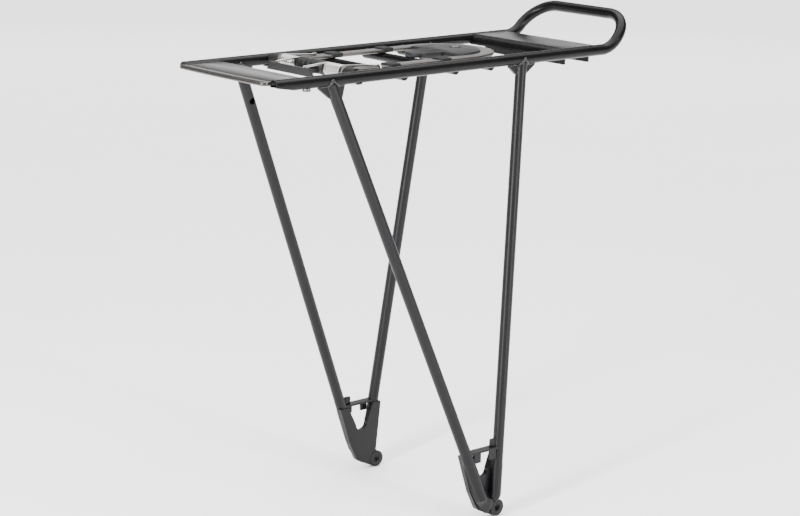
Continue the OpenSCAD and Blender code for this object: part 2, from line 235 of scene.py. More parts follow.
def newMaterial(name, shader):
    material = bpy.data.materials.new(name)
    material.use_nodes = True
    tree = material.node_tree
    tree.nodes.clear()
    out = addNode(tree, "ShaderNodeOutputMaterial")
    surface = addNode(tree, "ShaderNodeBsdfPrincipled", shader)
    tree.links.new(surface.outputs["BSDF"], out.inputs["Surface"])
    where = addNode(tree, "ShaderNodeTexCoord")
    return material, tree, surface, where


def setColour(tree, surface, pattern, s):
    # the pattern's value carries the base colour from dark to light
    colour = addNode(tree, "ShaderNodeMix", {"data_type": "RGBA"}, {"Factor": (pattern, "Fac")})
    dark, light = [socket for socket in colour.inputs if socket.type == "RGBA"]
    dark.default_value = toLinear(s["dark"])
    light.default_value = toLinear(s["light"])
    mixed = [socket for socket in colour.outputs if socket.type == "RGBA"][0]
    tree.links.new(mixed, surface.inputs["Base Color"])


def setRoughness(tree, surface, pattern, s):
    # the middle of the pattern's range, 0.3 to 0.7, carries the roughness from its low value to its high one
    low, high = s["roughness"]
    shine = addNode(tree, "ShaderNodeMapRange",
                    {"From Min": 0.3, "From Max": 0.7, "To Min": low, "To Max": high},
                    {"Value": (pattern, "Fac")})
    tree.links.new(shine.outputs["Result"], surface.inputs["Roughness"])


def setBump(tree, surface, source, output, strength, depth):
    bump = addNode(tree, "ShaderNodeBump", {"Strength": strength, "Distance": depth},
                   {"Height": (source, output)})
    tree.links.new(bump.outputs["Normal"], surface.inputs["Normal"])


# Polyester powder coat: sprayed dry and baked, so it flows into a fine orange peel with a satin shine.
# lump is the peel's spacing, grain the texture of the powder, and bump their depth, all in millimetres.
powderCoat = {
    "satinBlack": {"dark": "#060506", "light": "#0c0b0b", "shine": 0.15, "roughness": (0.22, 0.32),
                   "lump": 1.6, "grain": 0.35, "bump": 0.05},
    # The legs' coat is the rails' coat made a little lighter: a painted sheen for the soft reflections the
    # legs catch, not a different paint.
    "anthracite": {"dark": "#0c0b0d", "light": "#141315", "shine": 0.18, "roughness": (0.3, 0.4),
                   "lump": 1.4, "grain": 0.3, "bump": 0.06},
    # The front plate's coat is the same satin coat made several times lighter: a painted reflection of the
    # grazing light its top catches, not a different paint.
    "plateCoat": {"dark": "#1d1b1a", "light": "#272423", "shine": 0.5, "roughness": (0.2, 0.28),
                  "lump": 1.6, "grain": 0.35, "bump": 0.04},
    "weldCoat": {"dark": "#0d0c0d", "light": "#151414", "shine": 0.35, "roughness": (0.16, 0.26),
                 "lump": 1.1, "grain": 0.3, "bump": 0.05},
    "cloud": 45,            # spacing of the slow drift in colour and shine, in millimetres
    "grainShare": 0.35,     # how strongly the powder's texture shows on top of the peel
}


def makePowderCoat(name, s):
    material, tree, surface, where = newMaterial(name, {"IOR": 1.5, "Specular IOR Level": s["shine"]})
    cloud = addNode(tree, "ShaderNodeTexNoise",
                    {"Scale": 1 / (powderCoat["cloud"] * mm), "Detail": 4, "Roughness": 0.6},
                    {"Vector": (where, "Object")})
    setColour(tree, surface, cloud, s)
    setRoughness(tree, surface, cloud, s)
    peel = addNode(tree, "ShaderNodeTexNoise", {"Scale": 1 / (s["lump"] * mm), "Detail": 2, "Roughness": 0.5},
                   {"Vector": (where, "Object")})
    grain = addNode(tree, "ShaderNodeTexNoise", {"Scale": 1 / (s["grain"] * mm), "Detail": 2},
                    {"Vector": (where, "Object")})
    height = addNode(tree, "ShaderNodeMath", {"operation": "MULTIPLY_ADD"})     # grain * grainShare + peel
    tree.links.new(grain.outputs["Fac"], height.inputs[0])
    height.inputs[1].default_value = powderCoat["grainShare"]
    tree.links.new(peel.outputs["Fac"], height.inputs[2])
    setBump(tree, surface, height, "Value", 0.35, s["bump"] * mm)
    return material


# Rolled steel strip, zinc plated: faint rolling lines along X under a soft grey shine.
# Drawn spring wire: plated bright, with a fine even mottle. Turned steel: darker, with a fine dull mottle.
# spacing is the pattern's own along X, Y and Z, and bump its depth, in millimetres.
metalFinish = {
    "zincStrip": {"dark": "#55514f", "light": "#736f6c", "roughness": (0.28, 0.42),
                  "spacing": (25, 10 / 9, 10 / 9), "bump": 0.02},
    "springWire": {"dark": "#9c9a98", "light": "#c4c2c0", "roughness": (0.14, 0.26),
                   "spacing": (2, 2, 2), "bump": 0.01},
    "turnedSteel": {"dark": "#4c4c4f", "light": "#68686b", "roughness": (0.28, 0.42),
                    "spacing": (10 / 9, 10 / 9, 10 / 9), "bump": 0.02},
}


def makeMetal(name, s):
    material, tree, surface, where = newMaterial(name, {"Metallic": 1.0})
    place = addNode(tree, "ShaderNodeMapping", {"Scale": [1 / (step * mm) for step in s["spacing"]]},
                    {"Vector": (where, "Object")})
    lines = addNode(tree, "ShaderNodeTexNoise", {"Scale": 1.0, "Detail": 4, "Roughness": 0.6},
                    {"Vector": (place, "Vector")})
    setColour(tree, surface, lines, s)
    setRoughness(tree, surface, lines, s)
    setBump(tree, surface, lines, "Fac", 0.3, s["bump"] * mm)
    return material


# Glass filled nylon from a spark eroded mould, and moulded rubber: both dull black with a fine even grain.
# grain is the grain's spacing, bump its depth and haze the spacing of the drift in colour, in millimetres.
plasticFinish = {
    "nylonBlack": {"dark": "#131314", "light": "#1e1e1f", "roughness": (0.38, 0.5),
                   "grain": 0.5, "bump": 0.06},
    "rubberBlack": {"dark": "#111112", "light": "#1a1a1a", "roughness": (0.6, 0.75),
                    "grain": 0.7, "bump": 0.09},
    "haze": 12,
}


def makePlastic(name, s):
    material, tree, surface, where = newMaterial(name, {"IOR": 1.52, "Specular IOR Level": 0.2})
    grain = addNode(tree, "ShaderNodeTexVoronoi", {"Scale": 1 / (s["grain"] * mm), "feature": "SMOOTH_F1"},
                    {"Vector": (where, "Object")})
    haze = addNode(tree, "ShaderNodeTexNoise", {"Scale": 1 / (plasticFinish["haze"] * mm), "Detail": 3},
                   {"Vector": (where, "Object")})
    setColour(tree, surface, haze, s)
    setRoughness(tree, surface, haze, s)
    setBump(tree, surface, grain, "Distance", 0.4, s["bump"] * mm)
    return material


satinBlack = makePowderCoat("satinBlackPowderCoat", powderCoat["satinBlack"])
# the legs' coat: a lighter copy of the rails' coat, its extra lightness a painted sheen
anthracite = makePowderCoat("anthracitePowderCoat", powderCoat["anthracite"])
# the front plate's coat: its lighter colour is a painted reflection of grazing light on the plate's top
plateCoat = makePowderCoat("satinPlatePowderCoat", powderCoat["plateCoat"])
weldCoat = makePowderCoat("powderCoatOverWeld", powderCoat["weldCoat"])
zincStrip = makeMetal("zincPlatedStrip", metalFinish["zincStrip"])
springWire = makeMetal("platedSpringWire", metalFinish["springWire"])
turnedSteel = makeMetal("turnedSteel", metalFinish["turnedSteel"])
nylonBlack = makePlastic("mouldedNylon", plasticFinish["nylonBlack"])
rubberBlack = makePlastic("mouldedRubber", plasticFinish["rubberBlack"])

cadFinish = {
    "satinBlack": (satinBlack, ["rail_left", "rail_right", "loop_bend_left", "loop_bend_right", "rear_loop",
                                "lamp_bracket", "crossbar_front", "crossbar_middle", "crossbar_rear"]),
    # the legs, gussets, foot plates and bridges take the lighter copy of the coat, a painted sheen
    "anthracite": (anthracite, [f"{part}_{word}" for word in ("left", "right")
                                for part in ("front_leg", "rear_leg", "front_gusset", "rear_gusset",
                                             "foot_plate", "foot_bridge")]),
    "zinc": (zincStrip, ["pivot_rod"]),
    "steel": (turnedSteel, ["stay_screws"]),
    "nylon": (nylonBlack, ["pivot_spacers", "spring_bracket"]),
}
for material, names in cadFinish.values():
    for name in names:
        for socket in nodes[name].material_slots:
            socket.link = "OBJECT"
            socket.material = material
print("materials done")

frontPlate = {
    "groove": 11.3 * mm,        # from the front edge to the middle of the groove
    # the groove's section: how far behind its middle and how high above the deck, both in millimetres
    "grooveLine": [(0.9, 0), (0.6, -0.15), (0.45, -0.8), (-0.45, -0.8), (-0.6, -0.1), (-1, 0.15)],
    "lipRise": 0.35 * mm,
    "lipEnds": (3.4 * mm, 3 * mm),      # behind the front edge, and in front of the groove's middle
    "nose": 1.5 * mm,           # radius of the rolled front edge
    "noseRise": 0.1 * mm,
    "corner": 5 * mm,
    "bow": 1.8 * mm,            # how far the front edge curves forward in the middle
    "bowReach": 36 * mm,
    "bowFade": 30 * mm,
    "edge": 0.6 * mm,
    "overlap": 0.3 * mm,        # how far the plate runs into the rails
}


def makeFrontPlate():
    # one closed outline in X and Z carried along Y; the front part of it moves forward by the bow,
    # bow * (1 - (y / half)^2), and back by corner - sqrt(corner^2 - t^2) where t runs round the corner
    s = frontPlate
    low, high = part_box("front_plate")
    top, under, nose = high.z, low.z, s["nose"]
    a = np.radians(np.linspace(90, 270, 13))
    middle = (top + under) / 2
    noseCentre = np.array([low.x + nose + s["bow"], middle + s["noseRise"]])
    noseRing = noseCentre + nose * np.stack([np.cos(a), np.sin(a)], -1)
    g, edge = low.x + s["groove"], s["edge"]
    groove = np.array([g, top]) + np.array(s["grooveLine"]) * mm
    lipFront, lipRear = s["lipEnds"]
    lip = [[g - lipRear, top + s["lipRise"]], [low.x + lipFront, top + s["lipRise"]]]
    rear = [[high.x - edge, under], [high.x - edge / 4, under + edge / 3], [high.x, under + edge],
            [high.x, top - edge], [high.x - edge / 4, top - edge / 3]]
    outline = np.concatenate([[[high.x - edge, top]], groove, lip, noseRing[1:], rear])
    half = high.y + s["overlap"]
    y = np.sin(np.linspace(-np.pi / 2, np.pi / 2, 61)) * half
    weight = smooth((low.x + s["bowReach"] - outline[:, 0]) / s["bowFade"])
    t = np.clip(np.abs(y) - (half - s["corner"]), 0, s["corner"])
    back = s["corner"] - np.sqrt(np.maximum(s["corner"] ** 2 - t ** 2, 0))
    shift = -s["bow"] * (1 - (y / half) ** 2) + back
    x = outline[None, :, 0] + shift[:, None] * weight[None]
    z = np.repeat(outline[None, :, 1], len(y), 0)
    return ringSurface(np.stack([x, np.repeat(y[:, None], len(outline), 1), z], -1))


# the plate's lighter coat is a painted reflection of the grazing light on its top
piece("frontPlate", makeFrontPlate(), plateCoat, "rack", ["front_plate"])

rearPlate = {
    "sheet": 2.5 * mm,
    "bend": 7.5 * mm,           # outer radius of the rounded front
    "proud": 0.1 * mm,
    "edge": 0.7 * mm,
    "edgeMiddle": 0.2 * mm,
    "flangeEdge": 0.5 * mm,
    "overlap": 0.3 * mm,        # how far it runs into the rails and past the lamp bracket
}


def makeRearPlate():
    # the outline of a bent sheet in X and Z carried along Y: a rounded front, a flat top that runs on over
    # the lamp bracket, and an inner flange
    s = rearPlate
    low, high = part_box("rear_plate")
    _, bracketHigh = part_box("lamp_bracket")
    top, end = high.z + s["proud"], bracketHigh.x + s["overlap"]
    a = np.radians(np.linspace(180, 90, 15))
    ring = np.stack([np.cos(a), np.sin(a)], -1)
    centre = np.array([low.x + s["bend"], top - s["bend"]])
    outline = np.concatenate([
        [[low.x, low.z]], centre + s["bend"] * ring,
        [[end - s["edge"], top], [end - s["edgeMiddle"], top - s["edgeMiddle"]], [end, top - s["edge"]],
         [end, top - s["sheet"]]],
        centre + (s["bend"] - s["sheet"]) * ring[::-1], [[low.x + s["sheet"], low.z]],
    ])
    y = np.linspace(low.y - s["overlap"], high.y + s["overlap"], 31)
    points = np.stack([
        np.repeat(outline[None, :, 0], len(y), 0),
        np.repeat(y[:, None], len(outline), 1),
        np.repeat(outline[None, :, 1], len(y), 0),
    ], -1)
    line = np.stack([np.full(9, high.x - s["sheet"] / 2), np.linspace(low.y, high.y, 9),
                     np.full(9, (low.z + high.z - s["sheet"] / 2) / 2)], -1)
    flange = roundedRect(s["sheet"], high.z - low.z - s["sheet"] / 2, s["flangeEdge"])
    return join(ringSurface(points), sweep(line, [1, 0, 0], [0, 0, 1], flange))


piece("rearPlate", makeRearPlate(), satinBlack, "rack", ["rear_plate"])
print("deck plates done")

# the pressed lower ends of the legs and the bosses round the dropout bores
foot = {
    "skin": 0.08 * mm,      # how far the pressed end stands proud of the tube it grows from
    "straightTop": 66 * mm,
    "straightEnd": 27 * mm,
    "reach": 17 * mm,       # how far the leg's line carries into the bend
    "tip": (-6.2 * mm, 1 * mm),
    "width": 7.3 * mm,      # half the width of the pressed tip
    "tipThickness": 1.6 * mm,
    "widened": 0.7,         # share of the bend by which the leg has its full width
    "closing": 0.82,        # share of the bend from which the tip rounds off
    "sunk": 0.3 * mm,       # how far an end's flat side lies inside the plate
    "landing": (3 * mm, 9 * mm),    # starts this far above the plate's edge, and is complete this much lower
    "fillet": (54 * mm, 27 * mm, 0.34),     # starts at this height, grows over this drop, by this share
    "rearTop": 42 * mm,
    "rearEnd": 16 * mm,     # where the rear leg's end starts to round off
    "rearRound": 6.5 * mm,
    "rearFlat": 3 * mm,
    "around": 48,           # points round a pressed end
    "boss": 7.8 * mm,
    "bore": 2.75 * mm,
    "bossEdge": 0.7 * mm,
    "chamfer": 0.6 * mm,
    "proud": (0.8 * mm, 1.2 * mm),  # how far the boss stands out of the plate, inside and outside
}


def roundOff(share):
    # height of a quarter circle, sqrt(1 - share^2), kept just above nothing so that the end ring stays open
    return np.sqrt(np.clip(1 - np.clip(share, 0, 1) ** 2, 0.0004, 1))


def makeFrontShoe(side):
    # centre line: the leg's own line, then a quadratic curve to the dropout boss;
    # section: a circle that widens in the plate's plane and thins away from it, cut flat on the plate
    s = foot
    z = np.linspace(s["straightTop"], s["straightEnd"], 26)
    line = legAxis("front", side, z)
    direction = unit(line[-1] - line[0])
    a = line[-1]
    c = a + direction * s["reach"]
    b = np.array([s["tip"][0], a[1], s["tip"][1]])
    t = np.linspace(0, 1, 30)[1:, None]
    curve = (1 - t) ** 2 * a + 2 * t * (1 - t) * c + t ** 2 * b
    path = np.concatenate([line, curve])
    path[:, 1] = side * np.abs(path[:, 1])
    along = np.concatenate([np.zeros(len(line)), t[:, 0]])
    grow = smooth(along / s["widened"])
    tube = railRadius + s["skin"]
    end = roundOff((along - s["closing"]) / (1 - s["closing"]))
    width = (tube + (s["width"] - tube) * grow) * end
    y, z = np.abs(path[:, 1]), path[:, 2]
    outward = y + tube * (1 - grow) + (s["tipThickness"] - (y - footOuter)) * grow
    outward = footOuter + (outward - footOuter) * (0.35 + 0.65 * end)
    inward = np.where(z > footHigh.z, y - tube, footOuter - s["sunk"])
    tangent = unit(np.gradient(path * [1, 0, 1], axis=0))
    sideways = np.stack([tangent[:, 2], np.zeros(len(path)), -tangent[:, 0]], -1)
    q = np.linspace(0, 2 * np.pi, s["around"], endpoint=False)
    above, drop = s["landing"]
    onPlate = smooth((footHigh.z + above - z) / drop)[:, None]
    width = width[:, None] * (1 + 0.1 * onPlate)
    centre = np.where(z > footHigh.z, y, np.minimum(y, outward - 1 * mm))
    # a fillet of weld runs out from the tube's front side to the plate's edge
    filletTop, filletDrop, filletGrowth = s["fillet"]
    low = np.clip((filletTop - z) / filletDrop, 0, 1) * (1 - grow)
    flare = 1 + filletGrowth * low[:, None] * smooth(-np.sin(q) / 0.7) * (np.cos(q) > 0)
    square = 1 - 0.72 * onPlate * (np.sin(q) < 0)
    across = np.sign(np.cos(q)) * np.abs(np.cos(q)) ** square
    rise = centre[:, None] + (outward - centre)[:, None] * np.sin(q)
    under = centre[:, None] + (tube + (centre - inward - tube)[:, None] * onPlate) * np.sin(q)
    rise = np.where(np.sin(q) < 0, np.maximum(under, inward[:, None]), rise)
    points = path[:, None] + sideways[:, None] * (width * across * flare)[..., None]
    points[..., 1] = side * rise
    return ringSurface(points)


def makeRearShoe(side):
    # the rear leg's end closes as a quarter ellipse just above the boss
    s = foot
    turn = np.linspace(0, np.pi / 2, 12)[1:]
    z = np.concatenate([np.linspace(s["rearTop"], s["rearEnd"], 12),
                        s["rearEnd"] - s["rearRound"] * np.sin(turn)])
    path = legAxis("rear", side, z)
    tube = railRadius + s["skin"]
    end = roundOff((s["rearEnd"] - z) / s["rearRound"])
    q = np.linspace(0, 2 * np.pi, s["around"], endpoint=False)
    across = np.sign(np.cos(q)) * np.abs(np.cos(q)) ** np.where(np.sin(q) < 0, 0.35, 1)
    x = path[:, :1] + 1.06 * tube * end[:, None] * across
    y = np.abs(path[:, 1:2]) + tube * (0.45 + 0.55 * end)[:, None] * np.sin(q)
    y = np.where(np.sin(q) < 0, np.maximum(y - s["rearFlat"], footOuter - s["sunk"]), y)
    return ringSurface(np.stack([x, side * y, np.repeat(path[:, 2:], s["around"], 1)], -1))


def makeBoss(side):
    # a short sleeve round the dropout bore: its outer edges are quarter circles, and the bore's are chamfered
    s = foot
    inner, outer = footLow.y - s["proud"][0], footHigh.y + s["proud"][1]
    a = np.radians(np.linspace(0, 90, 6))
    r, chamfer = s["bossEdge"], s["chamfer"]
    near = np.stack([inner + r - r * np.sin(a), s["boss"] - r + r * np.cos(a)], -1)[::-1]
    far = np.stack([outer - r + r * np.sin(a), s["boss"] - r + r * np.cos(a)], -1)
    bore = [[outer, s["bore"] + chamfer], [outer - chamfer, s["bore"]],
            [inner + chamfer, s["bore"]], [inner, s["bore"] + chamfer]]
    profile = np.concatenate([near, far, bore])
    a = np.linspace(0, 2 * np.pi, 64, endpoint=False)
    y, radius = profile[:, :1], profile[:, 1:]
    shell = ringSurface(np.stack([radius * np.cos(a), y + 0 * a, radius * np.sin(a)], -1), True)
    return shell if side > 0 else mirrored(shell)


for side, word in ((-1, "left"), (1, "right")):
    # the bosses and pressed ends take the legs' lighter coat, a painted sheen
    piece("dropoutBoss_" + word, makeBoss(side), anthracite, "rack", sharp=40)
    piece("frontShoe_" + word, makeFrontShoe(side), anthracite, "rack", sharp=50)
    piece("rearShoe_" + word, makeRearShoe(side), anthracite, "rack", sharp=50)
print("feet done")

weld = {
    "ripple": 1.9 * mm,     # spacing of the ripples along a bead
    "depth": 0.13,          # how much the radius swells and falls
    # radius of each kind of bead
    "leg": 1.5 * mm,
    "bar": 1.2 * mm,
    "gusset": 1.1 * mm,
    "gussetEdge": 1 * mm,
    "plate": 0.8 * mm,
    "foot": 0.9 * mm,
    "rod": 1 * mm,
    "plug": (3.6 * mm, 3 * mm, 1.6 * mm),   # half sizes of the plug weld under each rail
    "plugPlace": 2 * mm,    # how far in front of the rod
    "plateInset": {"front_plate": 13 * mm, "rear_plate": 1 * mm},
    "footBottom": {"front": 28 * mm, "rear": 15 * mm},
}


def bead(path, guide, radius, rowLoop=False):
    # a round bead whose radius swells and falls once every ripple, radius * (1 + depth * sin),
    # and an open one closes down at both ends
    step = np.linalg.norm(np.diff(path, axis=0), axis=1)
    length = np.concatenate([[0], np.cumsum(step)])
    total = length[-1]
    waves = max(1, round(total / weld["ripple"]))
    r = radius * (1 + weld["depth"] * np.sin(2 * np.pi * waves * length / total))
    if not rowLoop:
        e = np.clip(np.minimum(length, total - length) / (1.4 * radius), 0, 1)
        r = r * np.sqrt(np.clip(1 - (1 - e) ** 2, 0.0025, 1))
    section = circle(1, 12)[None] * r[:, None, None]
    return alongPath(path, guide, section, rowLoop)


def legSaddle(kind, side):
    # where the leg's cylinder meets the rail's: along each line of the leg, the lower root of
    # (y - railY)^2 + (z - railZ)^2 = railRadius^2
    base, top = legAxis(kind, side, 300 * mm), legAxis(kind, side, railZ)
    u = unit(top - base)
    e1 = unit(np.cross(u, [0, 1, 0]))
    e2 = np.cross(u, e1)
    q = np.linspace(0, 2 * np.pi, 96, endpoint=False)[:, None]
    start = top + railRadius * (np.cos(q) * e1 + np.sin(q) * e2)
    d = start[:, 1:] - np.array([side * railY, railZ])
    w = u[1:]
    b, c = d @ w, (d ** 2).sum(1) - railRadius ** 2
    t = (-b - np.sqrt(np.clip(b * b - (w @ w) * c, 0, None))) / (w @ w)
    return start + t[:, None] * u, unit(np.cos(q) * e1 + np.sin(q) * e2)


def legWelds():
    shells = []
    for kind in ("front", "rear"):
        for side in (-1, 1):
            path, guide = legSaddle(kind, side)
            shells.append(bead(path, guide, weld["leg"], True))
    return join(*shells)


def barWelds():
    # over the top of each crossbar where it enters the rail: y = railY - sqrt(railRadius^2 - (z - railZ)^2)
    shells = []
    q = np.radians(np.linspace(-12, 192, 60))
    for name in ("crossbar_front", "crossbar_middle", "crossbar_rear"):
        low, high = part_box(name)
        r = (high.x - low.x) / 2
        x, z = (low.x + high.x) / 2 + r * np.cos(q), (low.z + high.z) / 2 + r * np.sin(q)
        for side in (-1, 1):
            y = side * (railY - np.sqrt(np.clip(railRadius ** 2 - (z - railZ) ** 2, 0, None)))
            path = np.stack([x, y, z], -1)
            shells.append(bead(path, np.stack([np.cos(q), 0 * q, np.sin(q)], -1), weld["bar"]))
    return join(*shells)


def straight(a, b, count):
    t = np.linspace(0, 1, count)[:, None]
    return np.asarray(a) * (1 - t) + np.asarray(b) * t


def gussetWelds():
    # along the rail on both faces of each gusset, and down both edges of the leg
    shells = []
    for kind in ("front", "rear"):
        for side, word in ((-1, "left"), (1, "right")):
            low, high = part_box(f"{kind}_gusset_{word}")
            crease = railZ - railRadius + 0.2 * mm
            for y in (low.y, high.y):
                line = straight([low.x - 0.5 * mm, y, crease], [high.x + 0.5 * mm, y, crease], 70)
                shells.append(bead(line, [0, 0, 1], weld["gusset"]))
                for edge in (-1, 1):
                    ends = legAxis(kind, side, [low.z - 0.5 * mm, railZ - railRadius])
                    ends = ends + [edge * railRadius * 0.98, 0, 0]
                    ends[:, 1] = y
                    shells.append(bead(straight(ends[0], ends[1], 36), [0, 1, 0], weld["gussetEdge"]))
    return join(*shells)


def plateWelds():
    # the creases between the plates and the rails
    shells = []
    for name, inset in weld["plateInset"].items():
        low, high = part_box(name)
        y = railY - math.sqrt(max(railRadius ** 2 - (high.z - railZ) ** 2, 0))
        z = high.z - 0.3 * mm
        for side in (-1, 1):
            line = straight([low.x + inset, side * y, z], [high.x - 0.5 * mm, side * y, z], 90)
            shells.append(bead(line, [0, 0, 1], weld["plate"]))
    return join(*shells)


def footWelds():
    # down both edges of each pressed leg end, where it lies on the foot plate
    shells = []
    for side in (-1, 1):
        for kind, bottom in weld["footBottom"].items():
            z = np.linspace(footHigh.z - 1 * mm, bottom, 60)
            axis = legAxis(kind, side, z)
            off = np.abs(axis[:, 1]) - footOuter
            halfWidth = np.sqrt(np.clip(railRadius ** 2 - off ** 2, 0, None))
            for edge in (-1, 1):
                path = axis.copy()
                path[:, 0] += edge * (halfWidth + 0.1 * mm)
                path[:, 1] = side * (footOuter + 0.1 * mm)
                shells.append(bead(path, [0, 1, 0], weld["foot"]))
    return join(*shells)


def pivotWelds():
    # a ring of weld round each end of the pivot rod, and a plug weld under each rail
    shells = []
    q = np.linspace(0, 2 * np.pi, 48, endpoint=False)
    low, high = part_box("pivot_rod")
    r = (high.z - low.z) / 2
    x, z = pivotX + r * np.cos(q), pivotZ + r * np.sin(q)
    # the plug is half sizes * (sin h cos a, sin h sin a, cos h)
    a, h = np.meshgrid(np.linspace(0, 2 * np.pi, 24, endpoint=False), np.linspace(0.02, np.pi - 0.02, 13))
    plug = np.stack([np.sin(h) * np.cos(a), np.sin(h) * np.sin(a), np.cos(h)], -1) * weld["plug"]
    for side in (-1, 1):
        y = side * (railY - np.sqrt(railRadius ** 2 - (z - railZ) ** 2))
        guide = np.stack([np.cos(q), 0 * q, np.sin(q)], -1)
        shells.append(bead(np.stack([x, y, z], -1), guide, weld["rod"], True))
        place = np.array([pivotX - weld["plugPlace"], side * railY, railZ - railRadius])
        shells.append(ringSurface(place + plug))
    return join(*shells)


for name, shell in (("legWelds", legWelds()), ("barWelds", barWelds()), ("gussetWelds", gussetWelds()),
                    ("plateWelds", plateWelds()), ("footWelds", footWelds()), ("pivotWelds", pivotWelds())):
    piece(name, shell, weldCoat, "rack", sharp=80)
print("welds done")

hub = {
    "taper": (3.5 * mm, 1.5 * mm),  # length and depth of each tapered end
    "edge": (0.6 * mm, 0.5 * mm),
    "grooves": 3,
    "grooveSpacing": 7 * mm,
    "grooveDepth": 0.5 * mm,
    "grooveWidth": 0.5 * mm,
}


def makeHub():
    # a turned profile: tapered ends, rounded edges and shallow grooves, r - depth * exp(-(y / width)^2)
    s = hub
    low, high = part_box("hub_sleeve")
    half, r = high.y, (high.z - low.z) / 2
    y = np.linspace(-half, half, 121)
    taperLength, taperDepth = s["taper"]
    radius = r - taperDepth * smooth((np.abs(y) - (half - taperLength)) / taperLength)
    edgeLength, edgeDepth = s["edge"]
    edge = np.clip((half - np.abs(y)) / edgeLength, 0, 1)
    radius = radius - edgeDepth * (1 - np.sqrt(1 - (1 - edge) ** 2))
    for centre in np.linspace(-1, 1, s["grooves"]) * s["grooveSpacing"]:
        radius = radius - s["grooveDepth"] * np.exp(-((y - centre) / s["grooveWidth"]) ** 2)
    profile = np.stack([y, radius], -1)
    return lathe((pivotX, 0, pivotZ), profile)


piece("hubSleeve", makeHub(), nylonBlack, "rack", ["hub_sleeve"], sharp=50)

spring = {
    "wire": 1.9 * mm,
    "radius": 4.7 * mm,
    "turns": 8,
    "perTurn": 40,          # points to a turn
    "start": 19.2 * mm,     # where the coil starts and ends along Y
    "end": 39.5 * mm,
    "tail": (25 * mm, 23 * mm),     # starts this far in front of the pivot and runs this far back
    "bracketGap": 0.1 * mm,
    "leg": 29 * mm,         # straight length behind the pivot
    "armTop": 1.5 * mm,     # the arms' top face above the pivot
    "armGap": 0.15 * mm,
    "hook": 35.5 * mm,      # how far behind the pivot the wire crosses the arm
    # in from the arm's outer edge: where the bend ends, where the crossing ends, where the wire turns down
    "hookEnds": (1.8 * mm, 0.6 * mm, 0.4 * mm),
    "hookBend": 2.2 * mm,
    "hookTip": 1.2 * mm,
    "twist": (0.2 * mm, 0.4 * mm),  # how far inside the coil's two ends two points lie; they go with the wire, which is only baked in place, not twisted
}


def makeSpring(side):
    # tail on the bracket, then a helix about the pivot, then a leg along the arm that hooks over it
    s = spring
    top = pivotZ + s["radius"]
    over = pivotZ + s["armTop"] + s["wire"] / 2 + s["armGap"]
    _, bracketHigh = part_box("spring_bracket")
    rest = bracketHigh.z + s["wire"] / 2 + s["bracketGap"]
    tailStart, tailRun = s["tail"]
    t = np.linspace(0, 1, 12)
    tail = np.stack([pivotX - tailStart + tailRun * t, 0 * t + s["start"],
                     rest + (top - rest) * smooth(t)], -1)
    count = s["turns"] * s["perTurn"]
    a = np.radians(90) - 2 * np.pi * np.arange(count + 1) / s["perTurn"]
    y = s["start"] + (s["end"] - s["start"]) * np.arange(count + 1) / count
    coil = np.stack([pivotX + s["radius"] * np.cos(a), y, pivotZ + s["radius"] * np.sin(a)], -1)
    t = np.linspace(0.04, 1, 18)
    leg = np.stack([pivotX + s["leg"] * t, 0 * t + s["end"], top + (over - top) * t], -1)
    hookX = pivotX + s["hook"]
    bendEnd, crossEnd, downStart = (clampRadius - inset for inset in s["hookEnds"])
    bend = bendEnd - s["end"]
    b = np.radians(np.linspace(10, 90, 9))
    turn = np.stack([hookX - bend + bend * np.sin(b), s["end"] + bend - bend * np.cos(b), 0 * b + over], -1)
    y = np.linspace(bendEnd + 0.4 * mm, crossEnd, 3)
    across = np.stack([0 * y + hookX, y, 0 * y + over], -1)
    c = np.radians(np.linspace(10, 90, 8))
    hookBend = s["hookBend"]
    down = np.stack([0 * c + hookX, downStart + hookBend * np.sin(c), over - hookBend * (1 - np.cos(c))], -1)
    path = np.concatenate([tail, coil[1:], leg, turn, across, down, down[-1:] - [[0, 0, s["hookTip"]]]])
    tangent = unit(np.gradient(path, axis=0))
    # the section's normal: radial on the coil, straight up on the legs, leaning outward down the hook
    radial = unit((path - [pivotX, 0, pivotZ]) * [1, 0, 1])
    normal = np.where((np.arange(len(path)) < len(tail) + count)[:, None], radial, [0, 0, 1.0])
    normal[-len(down) - 1:] = unit(np.array([0, 0.9, 0.6]))
    sideways = unit(np.cross(tangent, normal))
    shell = sweep(path, sideways, np.cross(sideways, tangent), circle(s["wire"] / 2, 14))
    return shell if side > 0 else mirrored(shell)


for side, word in ((-1, "left"), (1, "right")):
    twistStart, twistEnd = spring["start"] + spring["twist"][0], spring["end"] - spring["twist"][1]
    ends = [(pivotX, side * twistStart, pivotZ), (pivotX, side * twistEnd, pivotZ)]
    piece("spring_" + word + "_wire", makeSpring(side), springWire, ends, ["spring_" + word],
          sharp=60)
print("springs done")

strip = {
    "width": 12 * mm,
    "thickness": 3 * mm,
    "edge": 0.9 * mm,
    "bore": 2.6 * mm,       # inner radius of the eyes
    "eye": 4.2 * mm,        # width of the eyes
    "joggle": 13 * mm,      # length of the step down from the eye to the arm
    "widen": (6.5 * mm, 2 * mm),        # the bar starts to widen here behind the pivot, over this length
    "tongue": (5.2 * mm, 3 * mm, 16 * mm),      # start behind the ring's centre, end inside the ring, width
}


